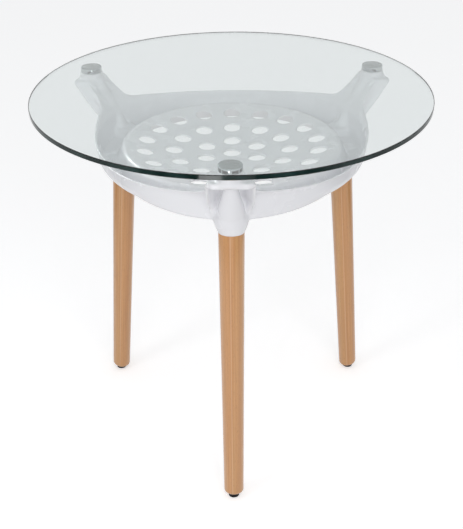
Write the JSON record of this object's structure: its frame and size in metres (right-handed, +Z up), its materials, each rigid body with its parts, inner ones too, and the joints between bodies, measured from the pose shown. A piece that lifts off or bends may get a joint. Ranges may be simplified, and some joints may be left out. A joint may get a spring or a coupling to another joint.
{
  "type": "round bistro table",
  "caption": "Round table with a clear glass top on chrome pads, a white moulded tray base with a perforated shelf, and splayed turned beech legs.",
  "frame": {"origin": "on the floor, under the middle of the glass top", "axes": "+Z up; -Y towards the viewer of the picture, through the front leg; +X to the right of the picture"},
  "size_m": [0.7999, 0.8, 0.76],
  "materials": {
    "table_glass": "polished",
    "white_plastic": "satin",
    "bond_clear": "clear",
    "chrome_pad": "polished",
    "steel_small": "zinc plated",
    "beech": "satin lacquer",
    "brass_insert": "turned",
    "black_plastic": "moulded"
  },
  "bodies": {
    "root": {"glass_top": "table_glass", "tray_frame": "white_plastic", "bond_film_front": "bond_clear", "bond_film_right": "bond_clear", "bond_film_left": "bond_clear", "support_pad_front": "chrome_pad", "support_pad_right": "chrome_pad", "support_pad_left": "chrome_pad", "pad_washer_front": "steel_small", "pad_washer_right": "steel_small", "pad_washer_left": "steel_small", "pad_screw_front": "steel_small", "pad_screw_right": "steel_small", "pad_screw_left": "steel_small", "leg_front": "beech", "leg_right": "beech", "leg_left": "beech", "hanger_bolt_front": "steel_small", "hanger_bolt_right": "steel_small", "hanger_bolt_left": "steel_small", "socket_insert_front": "brass_insert", "socket_insert_right": "brass_insert", "socket_insert_left": "brass_insert", "glide_front": "black_plastic", "glide_right": "black_plastic", "glide_left": "black_plastic", "glide_nail_front": "steel_small", "glide_nail_right": "steel_small", "glide_nail_left": "steel_small"}
  },
  "joints": []
}
